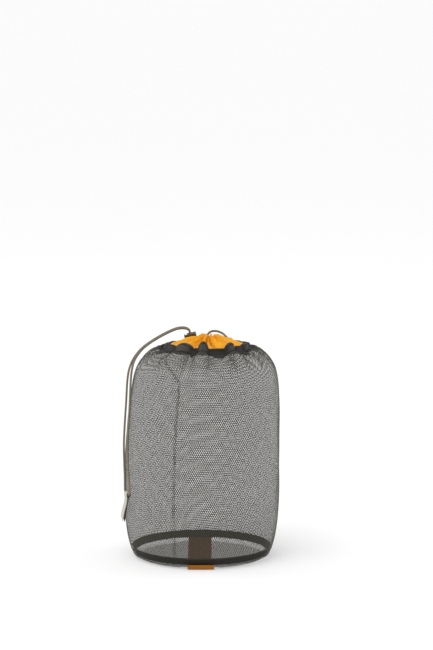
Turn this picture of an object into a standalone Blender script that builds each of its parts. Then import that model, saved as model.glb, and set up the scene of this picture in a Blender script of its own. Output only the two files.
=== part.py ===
"""A small mesh laundry sack, drawn closed and standing on its round base.

The sack's axis is +Z, its base rests on z = 0, and its front faces -Y. Lengths are in metres.
The wall is a tube of netting that closes over a shoulder into a gathered drawcord tunnel.
A thin cloth collar fills the mouth, and the cord leaves the tunnel through a window at the back,
passes a spring cord lock and hangs down the left side to a folded ribbon tab.
"""
import math

import bmesh
import bpy
import numpy as np

# The wall: height and radius of its outer face, from the base seam to the tunnel's foot.
WALL_PROFILE = (
    (0.0028, 0.0716), (0.0080, 0.0742), (0.0140, 0.0764), (0.0250, 0.0790), (0.0430, 0.0812),
    (0.0650, 0.0821), (0.0900, 0.0822), (0.1200, 0.0817), (0.1570, 0.0802), (0.1810, 0.0782),
    (0.1960, 0.0759), (0.2060, 0.0724), (0.2145, 0.0660), (0.2205, 0.0590), (0.2232, 0.0520),
    (0.2236, 0.0468),
)
WALL_THICKNESS = 0.0012
WALL_SEGMENTS = 48
WALL_STEP = 0.0125
SACK_HEIGHT = 0.235
BASE_OFFSET = -0.001      # the base stands this far along X from the origin
LEAN = 0.0066             # the mouth leans this far along +X over the base
LEAN_POWER = 2.2
RIM_TILT = 0.0015         # the front of the mouth stands this much higher than its middle
TILT_START = 0.196
TILT_END = 0.2236
GAP = 0.0003
RUN_SAMPLES = 24          # samples of a smooth curve between two points of its route

# Sewn inside the wall.
BINDING_DEPTH = (0.0020, 0.0030)
BINDING_HEIGHTS = (0.0036, 0.0112)
SEAM_DEPTH = (0.0020, 0.0027)
SEAM_HEIGHTS = (0.0125, 0.2215)
SEAM_ANGLE = 249.0        # degrees round from +X
SEAM_SWING = 26.0         # the gathers carry the seam's top this far aside
SWING_SPAN = (0.196, 0.226)
SEAM_WIDTH = 0.008

# The round base and the strap under it.
BASE_PROFILE = ((0.0, 0.0), (0.0330, 0.0), (0.0600, 0.0), (0.0680, 0.0003), (0.0706, 0.0017))
BASE_THICKNESS = 0.0008
BASE_RIM_HEIGHT = 0.001   # above this the base turns up, and it is thick inwards too
BASE_SEGMENTS = 64
BASE_SPACING = 0.008
STRAP_WIDTH = 0.025
STRAP_THICKNESS = 0.0008
STRAP_SPACING = 0.004
STRAP_X = -0.0028
STRAP_CLEARANCE = 0.0003
STRAP_RAMP = (0.0050, 0.0120)   # the base steps down to the floor over this reach beside the strap
STRAP_END = ((0.0, 0.0004), (0.035, 0.0004), (0.060, 0.0004), (0.0695, 0.0004), (0.0723, 0.0009),
             (0.0738, 0.0026), (0.0747, 0.0050))

# The mouth: radius and height about the leaning axis.
TUNNEL_SECTION = (
    (0.0466, 0.2239), (0.0452, 0.2275), (0.0440, 0.2303), (0.0425, 0.2314), (0.0402, 0.2312),
    (0.0386, 0.2300), (0.0386, 0.2239), (0.0394, 0.2239), (0.0394, 0.2298), (0.0405, 0.2303),
    (0.0422, 0.2303), (0.0432, 0.2296), (0.0432, 0.2239),
)
TUNNEL_OUTSIDE = 6        # the first points of the section, which the pleats move
TUNNEL_ANGLES = (140.0, 410.0)
TUNNEL_SEGMENTS = 68
PLEATS = 17
PLEAT_DEPTH = 0.0016
FACING_SECTION = ((0.0463, 0.2230), (0.0463, 0.2237), (0.0396, 0.2239), (0.0396, 0.2276),
                  (0.0386, 0.2276), (0.0386, 0.2230))
FACING_ANGLES = (52.0, 138.0)
FACING_SEGMENTS = 14
COLLAR_PROFILE = (
    (0.0380, 0.2242), (0.0379, 0.2282), (0.0362, 0.2306), (0.0280, 0.2322), (0.0180, 0.2350),
    (0.0110, 0.2380), (0.0078, 0.2394), (0.0058, 0.2390), (0.0052, 0.2366),
)
COLLAR_THICKNESS = 0.0008
COLLAR_SPACING = 0.0055
COLLAR_SEGMENTS = 55
COLLAR_FOLDS = 11
COLLAR_FOLD_HEIGHT = 0.0007
COLLAR_FOLD_INSIDE = (0.10, 0.40)    # shares of the radius over which the folds rise
COLLAR_FOLD_OUTSIDE = (0.75, 0.95)   # and fall again
COLLAR_RADIUS = 0.038
COLLAR_SHIFT = 0.0025     # the bunched middle stands this far along +X from the mouth's centre

# The cord, and the part of it that the tunnel holds.
CORD_RADIUS = 0.00115
CORD_SPACING = 0.0062
RING_RADIUS = 0.0413
RING_HEIGHT = 0.2278
RING_START = 147.0
RING_STOP = 410.0
RING_STEP = 20.0

# The cord lock: its own X runs along the button, and its own Z along the cord.
LOCK_PLACE = (-0.0128, 0.0390, 0.2312)
LOCK_TILT = -12.0
LOCK_LEFT = -0.0036
LOCK_RIGHT = 0.00635
LOCK_DEPTH = 0.0100
LOCK_HEIGHT = 0.0052
LOCK_ROUNDING = 0.0011
LOCK_TRAVEL = 0.0028      # the strands leave the lock straight for this far, and it slides along them
BORE_RIGHT = 0.00555
BORE_DEPTH = 0.0082
BORE_HEIGHT = 0.0030
BORE_LEAD = 0.001         # the cutter reaches this far out of the bore's mouth
CORD_SLOT = (0.0029, 0.0056)
STRAND_OFFSET = 0.00135
PLUNGER_DEPTH = 0.0076
PLUNGER_HEIGHT = 0.0024
PLUNGER_RIGHT = 0.00235
PLUNGER_SLOT = (-0.00325, 0.00145)
BUTTON_FACE = -0.0066
BUTTON_BACK = -0.0057
BUTTON_DEPTH = 0.0088
BUTTON_HEIGHT = 0.0040
BUTTON_OVERLAP = 0.0004   # the shaft reaches this far into the pressing face
EDGE_ROUNDING = 0.0005
SPRING_ENDS = (0.00270, 0.00520)
SPRING_RADIUS = 0.00105
SPRING_WIRE = 0.000175
SPRING_TURNS = 2.5
SPRING_STEPS = 14         # for each turn

# The pull tab: its own X runs along the fold, and it hangs down its own -Z.
TAB_PLACE = (-0.0792, -0.0316, 0.0730)
TAB_TURN = -72.5
TAB_LEAN = -12.0
TAB_WIDTH = 0.0092
TAB_FOLD_RADIUS = 0.0024
TAB_HALF_THICKNESS = 0.0009
TAB_TUNNEL_RADIUS = 0.0018
TAB_LENGTHS = (0.0250, 0.0290)   # at the far edge and at the near edge of the slanting end
TAB_NECK = 0.0053                # where the two plies meet below the fold
TAB_FOLD_ARC = (-30, 211, 20)    # the fold's outline in degrees: start, stop, step

# Routes of the cord. The free cord goes from the lock over the shoulder, down, and through the tab.
STRAND_DOWN = (
    (-0.0168, 0.0401, 0.2390), (-0.0220, 0.0393, 0.2399),
    (-0.0290, 0.0370, 0.2389), (-0.0380, 0.0328, 0.2356), (-0.0480, 0.0270, 0.2310),
    (-0.0583, 0.0198, 0.2254), (-0.0664, 0.0128, 0.2194), (-0.0731, 0.0046, 0.2114),
    (-0.0773, -0.0032, 0.2022), (-0.0793, -0.0090, 0.1900), (-0.0804, -0.0135, 0.1700),
    (-0.0820, -0.0170, 0.1450), (-0.0829, -0.0195, 0.1250), (-0.0826, -0.0210, 0.1050),
    (-0.0821, -0.0219, 0.0920), (-0.0820, -0.0226, 0.0840),
)
BIGHT = ((-0.0092, 0.0064), (-0.0086, 0.0026), (-0.0058, 0.0002), (0.0, 0.0), (0.0058, 0.0002),
         (0.0086, 0.0026), (0.0092, 0.0064))
STRAND_UP = (
    (-0.0770, -0.0382, 0.0840), (-0.0776, -0.0355, 0.0920), (-0.0784, -0.0318, 0.1050),
    (-0.0788, -0.0280, 0.1250), (-0.0778, -0.0260, 0.1450), (-0.0764, -0.0225, 0.1700),
    (-0.0756, -0.0155, 0.1900), (-0.0745, -0.0080, 0.2014), (-0.0719, 0.0004, 0.2104),
    (-0.0659, 0.0090, 0.2186), (-0.0582, 0.0162, 0.2248), (-0.0480, 0.0236, 0.2304),
    (-0.0380, 0.0296, 0.2350), (-0.0290, 0.0340, 0.2383), (-0.0220, 0.0364, 0.2393),
    (-0.0168, 0.0374, 0.2386),
)
LEFT_RUN = ((-0.0124, 0.0374, 0.2268), (-0.0140, 0.0369, 0.2254), (-0.0175, 0.0350, 0.2250),
            (-0.0222, 0.0315, 0.2262))
RIGHT_RUN = (
    (0.0280, 0.0348, 0.2275), (0.0248, 0.0370, 0.2308), (0.0208, 0.0390, 0.2338),
    (0.0150, 0.0408, 0.2356), (0.0092, 0.0417, 0.2350), (0.0058, 0.0421, 0.2320),
    (0.0030, 0.0421, 0.2280), (-0.0008, 0.0417, 0.2254), (-0.0055, 0.0410, 0.2249),
    (-0.0098, 0.0405, 0.2258),
)


def clear_scene():
    for old in list(bpy.data.objects):
        bpy.data.objects.remove(old, do_unlink=True)


def material(name, color, roughness, metallic=0.0):
    made = bpy.data.materials.new(name)
    made.use_nodes = True
    shader = made.node_tree.nodes["Principled BSDF"]
    shader.inputs["Base Color"].default_value = (*color, 1.0)
    shader.inputs["Roughness"].default_value = roughness
    shader.inputs["Metallic"].default_value = metallic
    return made


def add_object(name, data, finish, parent=None):
    made = bpy.data.objects.new(name, data)
    data.materials.append(finish)
    bpy.context.scene.collection.objects.link(made)
    made.parent = parent
    return made


def add_frame(name, place, turn):
    """An empty at a joint, which its moving pieces hang from."""
    frame = bpy.data.objects.new(name, None)
    frame.location = place
    frame.rotation_euler = [math.radians(angle) for angle in turn]
    bpy.context.scene.collection.objects.link(frame)
    return frame


def mesh_from(name, points, faces):
    """A closed mesh with its doubles merged and its faces pointing out."""
    shape = bmesh.new()
    corners = [shape.verts.new(point) for point in points]
    for face in faces:
        shape.faces.new([corners[index] for index in face])
    bmesh.ops.remove_doubles(shape, verts=shape.verts, dist=1e-6)
    bmesh.ops.dissolve_degenerate(shape, edges=shape.edges, dist=1e-7)
    bmesh.ops.recalc_face_normals(shape, faces=shape.faces)
    made = bpy.data.meshes.new(name)
    shape.to_mesh(made)
    shape.free()
    made.shade_smooth()
    made.set_sharp_from_angle(angle=math.radians(40))
    return made


def smooth_path(route, spacing, straight_ends=False):
    """Evenly spaced points along a smooth curve through the route's points.

    With straight_ends, the first and the last run between two of the route's points stay straight.
    """
    points = np.array(route, float)
    points = np.vstack([2 * points[0] - points[1], points, 2 * points[-1] - points[-2]])
    t = np.linspace(0, 1, RUN_SAMPLES, endpoint=False)[:, None]
    runs = []
    for a, b, c, d in zip(points, points[1:], points[2:], points[3:]):
        square = (2 * a - 5 * b + 4 * c - d) * t**2
        cube = (3 * b - a - 3 * c + d) * t**3
        runs.append(0.5 * (2 * b + (c - a) * t + square + cube))
    dense = np.vstack(runs + [points[-2:-1]])
    steps = np.linalg.norm(np.diff(dense, axis=0), axis=1)
    along = np.concatenate([[0], np.cumsum(steps)])
    first, last = (along[RUN_SAMPLES], along[-1 - RUN_SAMPLES]) if straight_ends else (0, along[-1])
    even = np.linspace(first, last, max(2, round((last - first) / spacing) + 1))
    if straight_ends:
        even = np.concatenate([[0], even, along[-1:]])
    return np.stack([np.interp(even, along, column) for column in dense.T], axis=1)


def sweep(section, angles, place, closed=True):
    """Carries a closed section of (radius, height) points round the sack. place gives each point."""
    count = len(section)
    points = [place(index, angle) for angle in angles for index in range(count)]
    turns = len(angles) if closed else len(angles) - 1
    faces = []
    for turn in range(turns):
        here = turn * count
        there = (turn + 1) % len(angles) * count
        for index in range(count):
            after = (index + 1) % count
            faces.append((here + index, here + after, there + after, there + index))
    if not closed:
        faces.append(tuple(range(count)))
        faces.append(tuple(range(turns * count, (turns + 1) * count)))
    return points, faces


def full_turn(segments):
    return [math.tau * step / segments for step in range(segments)]


def part_turn(start, stop, segments):
    return [math.radians(start + (stop - start) * step / segments) for step in range(segments + 1)]


def smoothstep(low, high, value):
    t = min(max((value - low) / (high - low), 0.0), 1.0)
    return t * t * (3 - 2 * t)


def axis_x(height):
    """The sack's leaning axis, which stays in the plane y = 0."""
    return BASE_OFFSET + LEAN * (max(height, 0.0) / SACK_HEIGHT) ** LEAN_POWER


def on_sack(radius, height, angle):
    """A point at a radius, height and angle about the leaning axis, with the mouth's tilt."""
    share = min(max((height - TILT_START) / (TILT_END - TILT_START), 0.0), 1.0)
    lift = -RIM_TILT * math.sin(angle) * share
    across = axis_x(height) + radius * math.cos(angle)
    return across, radius * math.sin(angle), height + lift


def wall_line(heights, depth):
    """The wall's profile between two heights, moved inwards by a depth, as (radius, height)."""
    line = smooth_path(WALL_PROFILE, WALL_STEP / 8)
    run = np.gradient(line, axis=0)
    run /= np.linalg.norm(run, axis=1)[:, None]
    inside = line + depth * np.stack([run[:, 1], -run[:, 0]], axis=1)
    along = np.concatenate([[0], np.cumsum(np.linalg.norm(np.diff(line, axis=0), axis=1))])
    low, high = np.interp(heights, line[:, 0], along)
    even = np.linspace(low, high, max(2, round((high - low) / WALL_STEP) + 1))
    radius = np.interp(even, along, inside[:, 1])
    height = np.interp(even, along, inside[:, 0])
    return list(zip(radius, height))


def wall_band(heights, depths):
    """A closed section that follows the wall between two depths below its outer face."""
    outer, inner = (wall_line(heights, depth) for depth in depths)
    return outer + inner[::-1]


def mesh_wall():
    section = wall_band((WALL_PROFILE[0][0], WALL_PROFILE[-1][0]), (0.0, WALL_THICKNESS))
    shape = sweep(section, full_turn(WALL_SEGMENTS), lambda i, angle: on_sack(*section[i], angle))
    add_object("mesh_wall", mesh_from("mesh_wall", *shape), material("netting", (0.2, 0.2, 0.18), 0.8))


def base_binding():
    section = wall_band(BINDING_HEIGHTS, BINDING_DEPTH)
    shape = sweep(section, full_turn(WALL_SEGMENTS), lambda i, angle: on_sack(*section[i], angle))
    finish = material("binding_tape", (0.025, 0.025, 0.023), 0.8)
    add_object("base_binding", mesh_from("base_binding", *shape), finish)


def side_seam_tape():
    section = wall_band(SEAM_HEIGHTS, SEAM_DEPTH)

    def place(index, side):
        radius, height = section[index]
        turn = math.radians(SEAM_ANGLE - SEAM_SWING * smoothstep(*SWING_SPAN, height))
        return on_sack(radius, height, turn + side * SEAM_WIDTH / (2 * radius))

    shape = sweep(section, (-1, 0, 1), place, closed=False)
    finish = material("seam_netting", (0.07, 0.07, 0.06), 0.8)
    add_object("side_seam_tape", mesh_from("side_seam_tape", *shape), finish)


def over_strap(x, height):
    """The height of the base's underside, which steps up over the strap."""
    reach = abs(x - STRAP_X) - STRAP_WIDTH / 2
    step = STRAP_THICKNESS + STRAP_CLEARANCE
    return max(height, step * (1 - smoothstep(*STRAP_RAMP, reach)))


def base_panel():
    under = [tuple(point) for point in smooth_path(BASE_PROFILE, BASE_SPACING)]
    section = list(under)
    for radius, height in under[::-1]:
        inwards = BASE_THICKNESS if height > BASE_RIM_HEIGHT else 0.0
        section.append((radius - inwards, height + BASE_THICKNESS))
    low_count = len(under)

    def place(index, angle):
        radius, height = section[index]
        x = BASE_OFFSET + radius * math.cos(angle)
        if index < low_count:
            return x, radius * math.sin(angle), over_strap(x, height)
        return x, radius * math.sin(angle), over_strap(x, height - BASE_THICKNESS) + BASE_THICKNESS

    shape = sweep(section, full_turn(BASE_SEGMENTS), place)
    finish = material("base_netting", (0.15, 0.15, 0.13), 0.8)
    add_object("base_panel", mesh_from("base_panel", *shape), finish)


def base_strap():
    """Webbing under the base from the front seam to the back seam, with both ends turned up."""
    half = smooth_path(STRAP_END, STRAP_SPACING)
    line = np.vstack([half[:0:-1] * (-1, 1), half])
    run = np.gradient(line, axis=0)
    run /= np.linalg.norm(run, axis=1)[:, None]
    side = np.stack([-run[:, 1], run[:, 0]], axis=1) * STRAP_THICKNESS / 2
    outline = np.vstack([line + side, (line - side)[::-1]])
    outline[:, 1] = np.maximum(outline[:, 1], 0.0)
    count = len(outline)
    points = []
    for x in (STRAP_X - STRAP_WIDTH / 2, STRAP_X + STRAP_WIDTH / 2):
        points += [(x, y, z) for y, z in outline]
    faces = [(i, (i + 1) % count, count + (i + 1) % count, count + i) for i in range(count)]
    rows = len(line)
    for end in (0, count):
        faces += [(end + i, end + i + 1, end + count - 2 - i, end + count - 1 - i)
                  for i in range(rows - 1)]
    finish = material("strap_webbing", (0.75, 0.3, 0.02), 0.6)
    add_object("base_strap", mesh_from("base_strap", points, faces), finish)


def drawcord_tunnel():
    """The hem round the mouth: a pleated outer wall, a rolled top and an inner wall, open below."""
    def place(index, angle):
        radius, height = TUNNEL_SECTION[index]
        if index < TUNNEL_OUTSIDE - 1:
            radius += PLEAT_DEPTH * (0.5 + 0.5 * math.cos(PLEATS * angle))
        return on_sack(radius, height, angle)

    angles = part_turn(*TUNNEL_ANGLES, TUNNEL_SEGMENTS)
    shape = sweep(TUNNEL_SECTION, angles, place, closed=False)
    finish = material("tunnel_netting", (0.05, 0.05, 0.045), 0.85)
    add_object("drawcord_tunnel", mesh_from("drawcord_tunnel", *shape), finish)


def window_facing():
    """The hem's floor and inner layer, which go on under and behind the window that the cord leaves by."""
    shape = sweep(FACING_SECTION, part_turn(*FACING_ANGLES, FACING_SEGMENTS),
                  lambda i, angle: on_sack(*FACING_SECTION[i], angle), closed=False)
    finish = material("facing_netting", (0.05, 0.05, 0.045), 0.85)
    add_object("window_facing", mesh_from("window_facing", *shape), finish)


def mouth_collar():
    """Thin cloth from the inside of the hem up to a bunched ring with a small eye in its middle."""
    line = smooth_path(COLLAR_PROFILE, COLLAR_SPACING)
    run = np.gradient(line, axis=0)
    run /= np.linalg.norm(run, axis=1)[:, None]
    under = line + COLLAR_THICKNESS * np.stack([-run[:, 1], run[:, 0]], axis=1)
    section = [tuple(point) for point in (*line, *under[::-1])]

    def place(index, angle):
        radius, height = section[index]
        share = radius / COLLAR_RADIUS
        fold = math.cos(COLLAR_FOLDS * angle) * smoothstep(*COLLAR_FOLD_INSIDE, share)
        fold *= 1 - smoothstep(*COLLAR_FOLD_OUTSIDE, share)
        lift = -RIM_TILT * math.sin(angle) * share + COLLAR_FOLD_HEIGHT * fold
        centre = axis_x(RING_HEIGHT) + COLLAR_SHIFT * (1 - share)
        return centre + radius * math.cos(angle), radius * math.sin(angle), height + lift

    shape = sweep(section, full_turn(COLLAR_SEGMENTS), place)
    finish = material("collar_cloth", (0.83, 0.36, 0.02), 0.5)
    add_object("mouth_collar", mesh_from("mouth_collar", *shape), finish)


def cord_object(name, route, finish):
    """A round cord along a smooth curve through its route."""
    path = smooth_path(route, CORD_SPACING, straight_ends=True)
    data = bpy.data.curves.new(name, "CURVE")
    data.dimensions = "3D"
    data.bevel_depth = CORD_RADIUS
    data.bevel_resolution = 2
    data.use_fill_caps = True
    line = data.splines.new("POLY")
    line.points.add(len(path) - 1)
    for point, place in zip(line.points, path):
        point.co = (*place, 1.0)
    return add_object(name, data, finish)


def lock_point(side, along):
    """A point on one strand's straight line through the lock: side is 1 at the back, -1 in front."""
    tilt = math.radians(LOCK_TILT)
    x, y, z = LOCK_PLACE
    return x + along * math.sin(tilt), y + side * STRAND_OFFSET, z + along * math.cos(tilt)


def tab_point(across, up):
    """A point of the bight, from the tab's fold along its own X and straight up."""
    turn = math.radians(TAB_TURN)
    x, y, z = TAB_PLACE
    return x + across * math.cos(turn), y + across * math.sin(turn), z + up


def cords():
    """The loop that the tunnel holds, and the free bight that hangs down to the tab."""
    finish = material("cord_braid", (0.32, 0.28, 0.2), 0.75)
    top = LOCK_HEIGHT / 2
    ring = [on_sack(RING_RADIUS, RING_HEIGHT, math.radians(angle))
            for angle in np.arange(RING_START, RING_STOP, RING_STEP)]
    below = -top - 2 * GAP
    held = [lock_point(-1, top), lock_point(-1, below), *LEFT_RUN, *ring]
    held += [*RIGHT_RUN, lock_point(1, below), lock_point(1, top)]
    cord_object("tunnel_drawcord", held, finish)
    start = top + GAP
    turn = start + LOCK_TRAVEL
    free = [lock_point(1, start), lock_point(1, turn), *STRAND_DOWN]
    free += [tab_point(*place) for place in BIGHT]
    free += [*STRAND_UP, lock_point(-1, turn), lock_point(-1, start)]
    cord_object("pull_cord", free, finish.copy())


def box(name, low, high, rounding=0.0, segments=2):
    """A box between two corners, with its edges rounded."""
    shape = bmesh.new()
    bmesh.ops.create_cube(shape, size=1.0)
    for corner in shape.verts:
        corner.co = [l + (h - l) * (c + 0.5) for l, h, c in zip(low, high, corner.co)]
    if rounding:
        bmesh.ops.bevel(shape, geom=shape.edges[:], offset=rounding, segments=segments,
                        profile=0.5, affect="EDGES")
    made = bpy.data.meshes.new(name)
    shape.to_mesh(made)
    shape.free()
    return made


def add_cutter(name, data, target, operation="DIFFERENCE"):
    """Cuts a hidden shape out of its target, or joins it on."""
    cutter = bpy.data.objects.new(name, data)
    bpy.context.scene.collection.objects.link(cutter)
    cutter.parent = target.parent
    cutter.hide_render = True
    cutter.display_type = "WIRE"
    cut = target.modifiers.new(name, "BOOLEAN")
    cut.operation = operation
    cut.solver = "EXACT"
    cut.object = cutter
    return cutter


def centred(low_x, high_x, depth, height):
    """The corners of a box that is centred on the lock's own X axis."""
    return (low_x, -depth / 2, -height / 2), (high_x, depth / 2, height / 2)


def cord_lock():
    """A two-hole lock: a body with a bore, a sprung plunger with a pressing face, and its spring."""
    frame = add_frame("cord_lock_frame", LOCK_PLACE, (0, LOCK_TILT, 0))
    outside = centred(LOCK_LEFT, LOCK_RIGHT, LOCK_DEPTH, LOCK_HEIGHT)
    shell = box("cord_lock_body", *outside, LOCK_ROUNDING, 3)
    body = add_object("cord_lock_body", shell, material("lock_plastic", (0.05, 0.04, 0.025), 0.45), frame)
    hole = centred(LOCK_LEFT - BORE_LEAD, BORE_RIGHT, BORE_DEPTH, BORE_HEIGHT)
    bore = box("lock_bore", *hole, EDGE_ROUNDING)
    add_cutter("lock_bore", bore, body)
    slot_x, slot_y = CORD_SLOT
    slot = box("lock_slot", *centred(-slot_x / 2, slot_x / 2, slot_y, 2 * LOCK_HEIGHT))
    add_cutter("lock_slot", slot, body)

    plunger = centred(BUTTON_BACK - BUTTON_OVERLAP, PLUNGER_RIGHT, PLUNGER_DEPTH, PLUNGER_HEIGHT)
    shaft = box("cord_lock_button", *plunger, EDGE_ROUNDING / 2, 1)
    finish = material("button_plastic", (0.03, 0.028, 0.02), 0.45)
    button = add_object("cord_lock_button", shaft, finish, frame)
    pad = box("button_pad", *centred(BUTTON_FACE, BUTTON_BACK, BUTTON_DEPTH, BUTTON_HEIGHT), EDGE_ROUNDING)
    add_cutter("button_pad", pad, button, "UNION")
    window = box("button_slot", *centred(*PLUNGER_SLOT, slot_y, 2 * PLUNGER_HEIGHT))
    add_cutter("button_slot", window, button)

    data = bpy.data.curves.new("cord_lock_spring", "CURVE")
    data.dimensions = "3D"
    data.bevel_depth = SPRING_WIRE
    data.bevel_resolution = 1
    data.use_fill_caps = True
    coil = data.splines.new("POLY")
    steps = round(SPRING_TURNS * SPRING_STEPS)
    coil.points.add(steps)
    left, right = SPRING_ENDS
    for step, point in enumerate(coil.points):
        turn = math.tau * step / SPRING_STEPS
        x = left + (right - left) * step / steps
        point.co = (x, SPRING_RADIUS * math.cos(turn), SPRING_RADIUS * math.sin(turn), 1.0)
    add_object("cord_lock_spring", data, material("spring_steel", (0.6, 0.6, 0.6), 0.3, 1.0), frame)


def pull_tab():
    """A ribbon folded over the bight: a round tunnel, then both plies down to a slanting end."""
    frame = add_frame("pull_tab_frame", TAB_PLACE, (TAB_LEAN, 0, TAB_TURN))
    arc = [math.radians(angle) for angle in range(*TAB_FOLD_ARC)]
    outline = [(TAB_FOLD_RADIUS * math.cos(a), TAB_FOLD_RADIUS * math.sin(a)) for a in arc]
    end = -max(TAB_LENGTHS)
    outline += [(-TAB_HALF_THICKNESS, -TAB_NECK), (-TAB_HALF_THICKNESS, end),
                (TAB_HALF_THICKNESS, end), (TAB_HALF_THICKNESS, -TAB_NECK)]
    count = len(outline)
    points = []
    for side, length in zip((-1, 1), TAB_LENGTHS):
        points += [(side * TAB_WIDTH / 2, y, max(z, -length)) for y, z in outline]
    faces = [(i, (i + 1) % count, count + (i + 1) % count, count + i) for i in range(count)]
    faces += [tuple(range(count)), tuple(range(count, 2 * count))]
    ribbon = mesh_from("pull_tab", points, faces)
    tab = add_object("pull_tab", ribbon, material("tab_ribbon", (0.55, 0.52, 0.43), 0.7), frame)
    shape = bmesh.new()
    bmesh.ops.create_cone(shape, cap_ends=True, segments=16, radius1=TAB_TUNNEL_RADIUS,
                          radius2=TAB_TUNNEL_RADIUS, depth=2 * TAB_WIDTH)
    for corner in shape.verts:
        corner.co = (corner.co.z, corner.co.y, -corner.co.x)
    data = bpy.data.meshes.new("tab_tunnel")
    shape.to_mesh(data)
    shape.free()
    add_cutter("tab_tunnel", data, tab)


def main():
    clear_scene()
    mesh_wall()
    base_binding()
    side_seam_tape()
    base_panel()
    base_strap()
    drawcord_tunnel()
    window_facing()
    mouth_collar()
    cords()
    cord_lock()
    pull_tab()
    bpy.context.view_layer.update()


main()
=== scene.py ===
"""A small netting laundry sack, drawn closed, with its cord, cord lock and ribbon tab.

Lengths are in metres. The sack stands on z = 0 and its front faces -Y.
"""

import math

import bmesh
import bpy
import numpy as np
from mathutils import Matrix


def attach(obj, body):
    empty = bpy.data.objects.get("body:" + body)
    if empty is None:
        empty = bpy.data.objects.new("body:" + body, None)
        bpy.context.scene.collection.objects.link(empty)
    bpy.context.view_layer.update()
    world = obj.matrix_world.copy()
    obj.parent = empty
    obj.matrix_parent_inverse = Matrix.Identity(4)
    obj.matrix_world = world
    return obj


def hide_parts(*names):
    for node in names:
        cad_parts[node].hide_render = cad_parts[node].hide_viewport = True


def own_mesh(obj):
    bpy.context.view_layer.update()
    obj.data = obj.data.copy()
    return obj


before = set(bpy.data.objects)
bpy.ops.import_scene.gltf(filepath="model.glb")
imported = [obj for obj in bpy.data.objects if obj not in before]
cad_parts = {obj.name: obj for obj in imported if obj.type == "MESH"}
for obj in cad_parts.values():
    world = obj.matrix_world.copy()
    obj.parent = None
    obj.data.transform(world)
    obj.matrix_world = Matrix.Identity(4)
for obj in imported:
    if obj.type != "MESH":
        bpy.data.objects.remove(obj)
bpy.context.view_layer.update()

bl_info = {
    "name": "Netting laundry sack",
    "version": (1, 0, 0),
    "blender": (4, 5, 0),
    "location": "3D View > Sidebar > Laundry sack",
    "description": "Makes the netting, seams, collar, cord and tab of a small drawcord sack",
    "category": "Object",
}

# The wall: height and radius of its outer face, from the base seam to the tunnel's foot.
WALL_PROFILE = (
    (0.0028, 0.0716), (0.0080, 0.0742), (0.0140, 0.0764), (0.0250, 0.0790), (0.0430, 0.0812),
    (0.0650, 0.0821), (0.0900, 0.0822), (0.1200, 0.0817), (0.1570, 0.0802), (0.1810, 0.0782),
    (0.1960, 0.0759), (0.2060, 0.0724), (0.2145, 0.0660), (0.2205, 0.0590), (0.2232, 0.0520),
    (0.2236, 0.0468),
)
SACK_HEIGHT = 0.235
BASE_OFFSET = -0.001
BASE_NET_RADIUS = 0.0722
WALL_NET_RADIUS = 0.081            # the diamonds are square at this radius
LEAN = 0.0066
LEAN_POWER = 2.2
RIM_TILT = 0.0015
TILT_SPAN = (0.196, 0.2236)
FOLD_SPAN = (0.190, 0.2230)   # the gathers' creases run down over this height
STRAP_X = -0.0028
STRAP_WIDTH = 0.025
STRAP_THICKNESS = 0.0008
SEAM_ANGLE = 249.0
SEAM_SWING = 26.0
SEAM_TURN_SPAN = (0.196, 0.226)   # the side seam turns aside over this height
SEAM_HALF_WIDTH = 0.0013
BINDING_HEIGHTS = (0.0036, 0.0112)   # the tape lies inside the netting
BINDING_DEPTH = (0.0019, 0.0030)
WINDOW_ANGLES = (50.0, 140.0)

# The gathers of the mouth: where each starts in degrees, how far it swells, how high its rim stands,
# and how far its foot runs out over the shoulder, dark with painted shade.
GATHERS = (
    (-11.0, 0.0026, 0.2296, 0.0050), (9.0, 0.0026, 0.2284, 0.0070), (29.0, 0.0020, 0.2280, 0.0050),
    (48.0, 0.0012, 0.2280, 0.0040), (71.0, 0.0010, 0.2280, 0.0050), (95.0, 0.0012, 0.2280, 0.0040),
    (118.0, 0.0012, 0.2280, 0.0050), (141.0, 0.0026, 0.2280, 0.0060), (160.0, 0.0028, 0.2282, 0.0050),
    (178.0, 0.0020, 0.2284, 0.0080), (194.0, 0.0014, 0.2292, 0.0105), (221.0, 0.0040, 0.2332, 0.0030),
    (250.0, 0.0006, 0.2282, 0.0100), (256.5, 0.0052, 0.2358, 0.0010), (272.0, 0.0004, 0.2276, 0.0110),
    (297.0, 0.0046, 0.2338, 0.0010), (311.0, 0.0008, 0.2290, 0.0110), (328.0, 0.0028, 0.2302, 0.0050),
    (349.0, 0.0026, 0.2298, 0.0050),
)
CREASE_RIM = 0.2270
CREASE_SPAN = (0.205, 0.2232)      # the wall's holes draw together over this height
HEM_RADIUS = 0.0470
HEM_HEIGHT = 0.2228                # where the hem starts to rise from the shoulder
HEM_FOOT = (0.0, 0.3, 0.6, 0.85)   # shares of the foot's reach, from its end to the hem
HEM_ROLL = (                       # radius and height over the rim, from outside to inside
    (0.0426, 0.0006), (0.0412, 0.0008), (0.0398, 0.0004), (0.0388, -0.0006), (0.0385, -0.0025),
    (0.0385, -0.0045),
)

# Folds of the collar round its bunched middle: where each starts, and how high it stands.
COLLAR_FOLDS = (
    (4.0, 0.0016), (27.0, 0.0024), (46.0, 0.0014), (74.0, 0.0022), (97.0, 0.0016), (124.0, 0.0024),
    (146.0, 0.0014), (171.0, 0.0022), (189.0, 0.0012), (214.0, 0.0020), (234.0, 0.0010),
    (247.0, 0.0026), (268.0, 0.0013), (283.0, 0.0022), (307.0, 0.0017), (327.0, 0.0026), (345.0, 0.0014),
    (364.0, 0.0016),
)
COLLAR_PROFILE = (
    (0.0382, 0.2242), (0.0382, 0.2270), (0.0376, 0.2286), (0.0300, 0.2296), (0.0205, 0.2312),
    (0.0130, 0.2338), (0.0092, 0.2364), (0.0064, 0.2368), (0.0046, 0.2350), (0.0037, 0.2320),
    (0.0034, 0.2288),
)
COLLAR_SHIFT = 0.0025

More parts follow.
